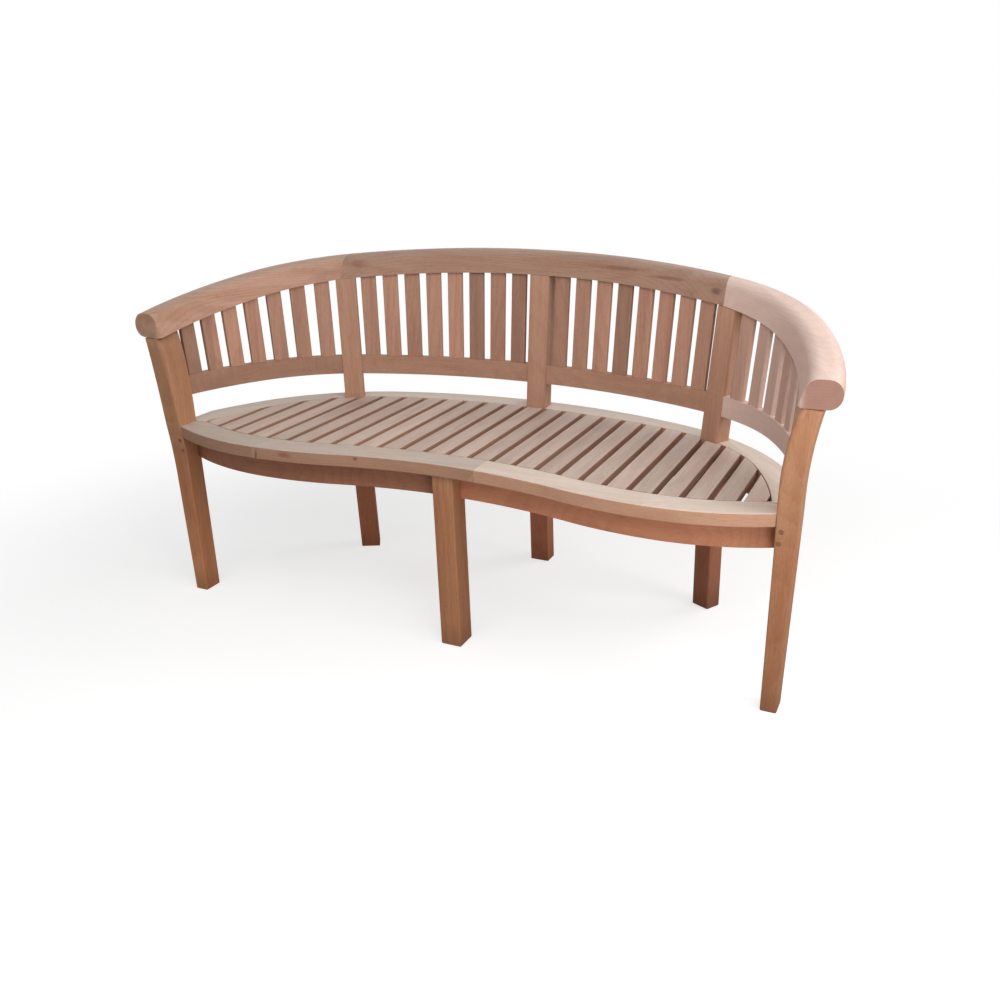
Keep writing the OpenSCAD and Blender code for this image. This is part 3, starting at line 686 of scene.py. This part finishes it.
# %% Streaks, fibres and pores
STREAK_FINENESS, STREAK_BAND = (1.6, 42, 42), (0.42, 0.66)
HEARTWOOD_FINENESS, HEARTWOOD_BAND = (0.9, 15, 15), (0.52, 0.72)
FIBRE_FINENESS, FIBRE_BAND, FIBRE_TONES = (14, 520, 520), (0.3, 0.7), (0.93, 1.06)
PORE_FINENESS, PORE_BAND = (55, 1300, 1300), (0.60, 0.74)

streaks = noise(figure, swayed, STREAK_FINENESS, detail=3.0, roughness=0.55)
streak = smooth_band(figure, streaks.outputs["Fac"], *STREAK_BAND)
heart = noise(figure, swayed, HEARTWOOD_FINENESS)
heart_mask = smooth_band(figure, heart.outputs["Fac"], *HEARTWOOD_BAND)
fibres = noise(figure, given["Grain"], FIBRE_FINENESS, roughness=0.6)
fibre_tone = smooth_band(figure, fibres.outputs["Fac"], *FIBRE_BAND, *FIBRE_TONES)
pores = noise(figure, given["Grain"], PORE_FINENESS, detail=1.0)
pore = smooth_band(figure, pores.outputs["Fac"], *PORE_BAND)
print("a streak is", round(1000 / STREAK_FINENESS[1]), "mm wide, a pore", round(1000 / PORE_FINENESS[1], 1))

# %% [markdown]
# The colour goes from pale to brown by ring and streak. Heartwood, the tint of the board, the painted shade
# of its upright faces, a painted sheen on boards with a tint above 1 and the dark of its ends follow, each
# laid over the last.

# %% Colour of the figure
HEART_STRENGTH = 0.75
PAINTED_SHEEN = (0.78, 0.67, 0.65, 1)
END_TONE = (0.46, 0.31, 0.26, 1)

brown_part = maths(figure, "MULTIPLY_ADD", ring, given["Ring Strength"],
                   maths(figure, "MULTIPLY", streak, given["Streak Strength"]), clamp=True)
heart_part = maths(figure, "MULTIPLY", heart_mask,
                   maths(figure, "MULTIPLY", given["Streak Strength"], HEART_STRENGTH))
base = mixed(figure, brown_part, given["Pale"], given["Brown"])
base = mixed(figure, heart_part, base, given["Heartwood"])
# The tint carries the board's own tone together with painted light and shade.
tone_and_light_step = maths(figure, "SUBTRACT", maths(figure, "MINIMUM", given["Tint"], 1.0), 0.5)
tone_and_painted_light = maths(figure, "MULTIPLY_ADD", tone_and_light_step, given["Tint Strength"], 1.0)
pore_tone = maths(figure, "SUBTRACT", 1.0, maths(figure, "MULTIPLY", pore, given["Pore Strength"]))
tone = maths(figure, "MULTIPLY", maths(figure, "MULTIPLY", fibre_tone, tone_and_painted_light), pore_tone)
base = mixed(figure, 1.0, base, tone, "MULTIPLY")
# Painted shade: upright faces are multiplied by the painted shading colour, so level tops look lit and
# upright faces shaded.
base = toned(figure, given["Side"], base, given["Shade"])
# Painted sheen: a tint above 1 pales the board towards a whitish pink, standing in for strong light and a
# bright reflection on the right-hand boards.
painted_sheen_share = maths(figure, "SUBTRACT", given["Tint"], 1.0, clamp=True)
base = mixed(figure, painted_sheen_share, base, PAINTED_SHEEN)
put(figure, toned(figure, given["End"], base, END_TONE), f_out.inputs["Color"])
# The colour printed here is the painted sheen.
print("a painted sheen pales a board towards", PAINTED_SHEEN[:3])

# %% [markdown]
# Brown bands are a little smoother than pale wood. Pores are rougher, and both lie lower than the fibres.

# %% Roughness and height of the figure
ROUGHNESS = 0.66
BROWN_ROUGHNESS = -0.08
PORE_ROUGHNESS = 0.1
RING_HEIGHT = -0.35
FIBRE_HEIGHT = 0.5

rough = maths(figure, "MULTIPLY_ADD", brown_part, BROWN_ROUGHNESS,
              maths(figure, "MULTIPLY_ADD", pore, PORE_ROUGHNESS, ROUGHNESS))
put(figure, rough, f_out.inputs["Roughness"])
bumps = maths(figure, "MULTIPLY_ADD", ring, RING_HEIGHT,
              maths(figure, "MULTIPLY", fibres.outputs["Fac"], FIBRE_HEIGHT))
put(figure, maths(figure, "SUBTRACT", bumps, pore), f_out.inputs["Height"])
print("figure group nodes:", len(figure.nodes))

# %% [markdown]
# This bench has a few knots and dark patches that catch the eye. Each is a soft ellipsoid in the bench's own
# space: a place, three half sizes, and what it does to the wood's colour. Noise frays its edge.
# The same small group draws all of them.

# %% Knots and dark patches
KNOTS = {
    "teak_seat_ring": [((-0.353, -0.323, 0.418), (0.024, 0.02, 0.010), (0.70, 0.50, 0.42)),
                       ((-0.197, -0.291, 0.421), (0.008, 0.01, 0.006), (0.50, 0.36, 0.30))],
    "teak_top_rail": [((-0.445, 0.159, 0.758), (0.035, 0.05, 0.016), (0.70, 0.60, 0.54)),
                      ((0.200, 0.238, 0.777), (0.110, 0.04, 0.007), (0.66, 0.54, 0.48)),
                      ((0.321, 0.206, 0.766), (0.080, 0.05, 0.006), (0.66, 0.54, 0.48)),
                      ((0.440, 0.159, 0.752), (0.018, 0.03, 0.012), (0.46, 0.38, 0.34))],
}
FRAY = 0.7
KNOT_OUTSIDE = 1.3
KNOT_INSIDE = 0.5
KNOT_FINENESS = (60, 60, 160)

knot, k_in, k_out = new_group(
    "teak_knot",
    [("Position", "NodeSocketVector", None), ("Place", "NodeSocketVector", (0, 0, 0)),
     ("Shrink", "NodeSocketVector", (1, 1, 1))],
    [("Mask", "NodeSocketFloat")])
away = vector_maths(knot, "SUBTRACT", k_in.outputs["Position"], k_in.outputs["Place"])
away = vector_maths(knot, "MULTIPLY", away, k_in.outputs["Shrink"])
frayed = noise(knot, k_in.outputs["Position"], KNOT_FINENESS)
distance = maths(knot, "ADD", vector_maths(knot, "LENGTH", away, output="Value"),
                 maths(knot, "MULTIPLY", frayed.outputs["Fac"], FRAY))
put(knot, smooth_band(knot, distance, KNOT_OUTSIDE, KNOT_INSIDE), k_out.inputs["Mask"])
print("knots and patches:", sum(len(marks) for marks in KNOTS.values()))

# %% [markdown]
# The bench is new and unfinished. Some boards look pale and pinkish, partly from the painted sheen of a tint
# above 1, and others keep a warm orange brown. Each slot of the model gets one teak finish: its pale, brown
# and heartwood colours, and how strong the figure is. Its side colour is a painted shade that upright faces
# are multiplied by, so level tops look lit and upright faces shaded. Its low colour is a painted shade below
# the seat, where the seat shades the frame.

# %% Teak finishes
WHITE = (1, 1, 1)
FINISHES = {
    "teak_seat_slats": dict(pale=(0.60, 0.48, 0.41), brown=(0.50, 0.37, 0.305), heart=(0.38, 0.25, 0.19),
                            side=(0.66, 0.48, 0.38), ring=0.35, streak=0.55, pore=0.25, tint=0.27),
    "teak_seat_ring": dict(pale=(0.66, 0.555, 0.475), brown=(0.58, 0.465, 0.38), heart=(0.50, 0.36, 0.28),
                           side=(0.63, 0.41, 0.305), ring=0.3, streak=0.5, pore=0.2, tint=0.3),
    "teak_back_slats": dict(pale=(0.42, 0.226, 0.152), brown=(0.34, 0.168, 0.108), heart=(0.22, 0.105, 0.066),
                            ring=0.4, streak=0.75, pore=0.35, tint=0.55),
    "teak_back_frame": dict(pale=(0.50, 0.275, 0.18), brown=(0.42, 0.21, 0.13), heart=(0.32, 0.155, 0.095),
                            low=(1.0, 0.66, 0.50), ring=0.3, streak=0.55, pore=0.3, tint=0.4),
    "teak_top_rail": dict(pale=(0.54, 0.36, 0.275), brown=(0.44, 0.255, 0.17), heart=(0.29, 0.15, 0.10),
                          side=(0.92, 0.80, 0.73), ring=0.35, streak=0.7, pore=0.3, tint=0.35),
    "teak_legs": dict(pale=(0.55, 0.27, 0.14), brown=(0.45, 0.195, 0.09), heart=(0.33, 0.135, 0.065),
                      low=(0.90, 0.78, 0.70), ring=0.35, streak=0.55, pore=0.3, tint=0.6),
    "teak_aprons": dict(pale=(0.47, 0.19, 0.098), brown=(0.37, 0.137, 0.071), heart=(0.26, 0.09, 0.049),
                        ring=0.35, streak=0.5, pore=0.3, tint=0.4),
    "teak_under_seat": dict(pale=(0.36, 0.19, 0.12), brown=(0.28, 0.14, 0.085), heart=(0.2, 0.1, 0.06),
                            ring=0.4, streak=0.5, pore=0.3, tint=0.2),
    "teak_dowels_and_plugs": dict(pale=(0.38, 0.18, 0.10), brown=(0.28, 0.125, 0.07), heart=(0.2, 0.09, 0.05),
                                  ring=0.6, streak=0.4, pore=0.3, tint=0.2),
}
STRENGTH_OF = {"Ring Strength": "ring", "Streak Strength": "streak", "Pore Strength": "pore",
               "Tint Strength": "tint"}
COLOUR_OF = {"Pale": "pale", "Brown": "brown", "Heartwood": "heart", "Shade": "side"}
print("finishes to make:", len(FINISHES))

# %% [markdown]
# A finish becomes a material. It reads the grain, the tint and the end grain that each board carries, and
# the figure group turns them into wood. Below the seat a painted shade darkens the wood, and towards the
# foot the wood is darker again. Knots are laid over that. The grain is too fine for geometry, so a weak bump
# shows its height.

# %% Make the finishes
LEVEL, STEEP = 0.95, 0.35
UNDER_SEAT_TOP, UNDER_SEAT_FULL = 0.42, 0.33
FOOT_TOP = 0.07
FOOT_TONE = (0.74, 0.72, 0.70)
BUMP_STRENGTH = 0.25
BUMP_DEPTH = 0.0006


def teak(name, finish):
    material = bpy.data.materials.new(name)
    material.use_nodes = True
    tree = material.node_tree
    tree.nodes.clear()
    wood = make(tree, "ShaderNodeGroup", node_tree=figure)
    for socket, output in (("Grain", "Vector"), ("Tint", "Fac"), ("End", "Fac")):
        layer = make(tree, "ShaderNodeAttribute", attribute_name=socket.lower())
        put(tree, layer.outputs[output], wood.inputs[socket])
    # Painted shade: this mask rises from level tops to upright faces, which take the finish's side colour.
    facing = make(tree, "ShaderNodeSeparateXYZ")
    put(tree, make(tree, "ShaderNodeNewGeometry").outputs["Normal"], facing.inputs[0])
    put(tree, smooth_band(tree, facing.outputs["Z"], LEVEL, STEEP), wood.inputs["Side"])
    for socket, key in COLOUR_OF.items():
        wood.inputs[socket].default_value = (*finish.get(key, WHITE), 1)
    for socket, key in STRENGTH_OF.items():
        wood.inputs[socket].default_value = finish[key]

    position = make(tree, "ShaderNodeTexCoord").outputs["Object"]
    height = make(tree, "ShaderNodeSeparateXYZ")
    put(tree, position, height.inputs[0])
    # Painted shade below the seat: the finish's low colour darkens the wood there, as if in the seat's shade.
    # The foot mask only darkens the wood towards the bottom.
    under_seat_painted_shade = smooth_band(tree, height.outputs["Z"], UNDER_SEAT_TOP, UNDER_SEAT_FULL)
    foot_mask = smooth_band(tree, height.outputs["Z"], FOOT_TOP, 0.0)
    colour = toned(tree, under_seat_painted_shade, wood.outputs["Color"], (*finish.get("low", WHITE), 1))
    colour = toned(tree, foot_mask, colour, (*FOOT_TONE, 1))
    for spot, half_size, darker in KNOTS.get(name, []):
        mark = make(tree, "ShaderNodeGroup", node_tree=knot)
        put(tree, position, mark.inputs["Position"])
        put(tree, spot, mark.inputs["Place"])
        put(tree, [1 / half for half in half_size], mark.inputs["Shrink"])
        colour = toned(tree, mark.outputs["Mask"], colour, (*darker, 1))

    bump = make(tree, "ShaderNodeBump", Strength=BUMP_STRENGTH, Distance=BUMP_DEPTH)
    put(tree, wood.outputs["Height"], bump.inputs["Height"])
    shader = make(tree, "ShaderNodeBsdfPrincipled")
    put(tree, colour, shader.inputs["Base Color"])
    put(tree, wood.outputs["Roughness"], shader.inputs["Roughness"])
    put(tree, bump.outputs["Normal"], shader.inputs["Normal"])
    put(tree, shader.outputs[0], make(tree, "ShaderNodeOutputMaterial").inputs["Surface"])
    return material


finishes = {slot: teak(slot, values) for slot, values in FINISHES.items()}
print("finishes made:", len(finishes))

# %% [markdown]
# No two boards of a stack have the same colour. The boards that show most have a chosen tint, and the others
# draw theirs at random. A chosen tint also paints light and shade: the right arm and its end of the back are
# painted almost white, as if strong light and a bright sheen fell on them, the boards on the right are paler,
# and those on the left darker, as in shade. A pair, from foot to top, paints how the light changes up a leg
# or a post. Boards in one node, such as the slats of a bay, are listed from left to right.

# %% Tint of each board
# A tint runs from 0, dark, to 1, pale, and what it has above 1 paints a pale sheen over the board.
BOARD_TONES_AND_PAINTED_LIGHT = {
    "top_rail_left_arm": [0.25],
    "top_rail_middle": [-0.4],
    "top_rail_right_arm": [1.38],
    "lower_rail_left_end": [-0.3],
    "lower_rail_left_middle": [0.0],
    "lower_rail_right_middle": [0.05],
    "lower_rail_right_end": [1.5],
    "back_slats_left_end": [0.05, 0.55, 0.75, 0.6, 0.4, 0.7, 0.5],
    "back_slats_left_middle": [0.5, 0.7, 0.35, 0.6, 0.8, 0.0, 0.45, 0.3],
    "back_slats_right_middle": [0.3, 0.5, 0.75, 0.05, 0.7, 0.9, 0.8, 0.55],
    "back_slats_right_end": [1.15, 1.3, 1.35, 1.25, 1.35, 1.2, 1.25],
    "ring_front_left_end": [-0.1],
    "ring_front_left_middle": [0.05],
    "ring_front_right_middle": [0.88],
    "ring_front_right_end": [0.9],
    "front_apron_left": [-0.2],
    "front_apron_right": [0.9],
    "end_leg_left": [(0.85, -0.2)],
    "end_leg_right": [(-0.05, 0.3)],
    "front_centre_leg": [(0.2, 0.2)],
    "rear_post_left": [(0.9, 0.05)],
    "rear_post_centre": [(0.4, 0.3)],
    "rear_post_right": [(-0.35, 0.7)],
}
# How dark the sawn ends of a board are: 0 as its faces, 1 as fresh end grain.
END_SHARES = {"top_rail_left_arm": 0.0, "top_rail_right_arm": 1.0}
END_SHARE = 0.6
print("boards with a chosen tint:", sum(len(tones_and_painted_light) for tones_and_painted_light in BOARD_TONES_AND_PAINTED_LIGHT.values()))

# %% [markdown]
# Now every board is dressed: copied, cut, eased, given its grain and its tint, and put in the place of its
# CAD node. What differs from board to board is the width of the eased edge and the way in which the grain
# runs. A curved board is sawn from a straight plank, so its grain follows the line between the middles of
# its ends.

# %% Dress the boards
WIDE, DEEP, UP = (1, 0, 0), (0, 1, 0), (0, 0, 1)
CURVE_CENTRE_Y = -0.1


def outward(centre):
    """Away from the sitter, for a slat of the curved back."""
    return Vector((centre.x, max(centre.y, 0.0) - CURVE_CENTRE_Y, 0))


def chord(name):
    verts = [v.co for v in nodes[name].data.vertices]
    direction = max(verts, key=lambda p: p.x) - min(verts, key=lambda p: p.x)
    direction.z = 0
    return direction.normalized()


# Each kind of board, by a part of its name. Where nothing else is said, the grain runs along the chord,
# the upper face looks up, the round has two steps and the board has pockets.
KINDS = {
    "seat_slat": dict(width=0.0018, along=DEEP, has_pockets=False),
    "ring_": dict(width=0.0022),
    "back_slats": dict(width=0.0018, along=UP, face_up=outward, has_pockets=False),
    "lower_rail": dict(width=0.002, face_up=DEEP),
    "apron": dict(width=0.002, face_up=DEEP),
    "end_leg": dict(width=LEG_ROUND, along=UP, face_up=DEEP, steps=4),
    "rear_post": dict(width=0.0035, along=UP, face_up=DEEP, steps=3),
    "front_centre_leg": dict(width=0.0035, along=UP, face_up=DEEP, steps=3),
    "top_rail": dict(width=0.0012),
    "seat_bearers": dict(width=0.0015, along=DEEP),
    "seat_batten": dict(width=0.0015, along=WIDE),
    "leg_plugs": dict(width=0.0004, along=DEEP, has_pockets=False),
}


def dress(name, width, along=None, face_up=UP, steps=2, has_pockets=True):
    bm = clean_copy(nodes[name])
    cut_to_length(bm, name)
    line = corner_line(bm) if name.startswith("end_leg") else []
    bm, count = ease(bm, name, width, steps, has_pockets)
    if line:
        print(name, "points of its round moved:", open_round(bm, line))
    set_grain(bm, name, along or chord(name), face_up, BOARD_TONES_AND_PAINTED_LIGHT.get(name),
              END_SHARES.get(name, END_SHARE))
    piece = finish_piece(bm, name, finishes[slot_of[name]])
    print(name, "edges eased:", count, "faces:", len(piece.data.polygons))


for name in nodes:
    for part_of_name, kind in KINDS.items():
        if part_of_name in name:
            dress(name, **kind)

# %% [markdown]
# The dowels lie inside the joints and show from nowhere, so they keep their CAD mesh and only get a finish.

# %% Dowels
dowels = nodes["joint_dowels"].data
dowels.materials.clear()
dowels.materials.append(finishes[slot_of["joint_dowels"]])
print("dowels' finish:", dowels.materials[0].name)
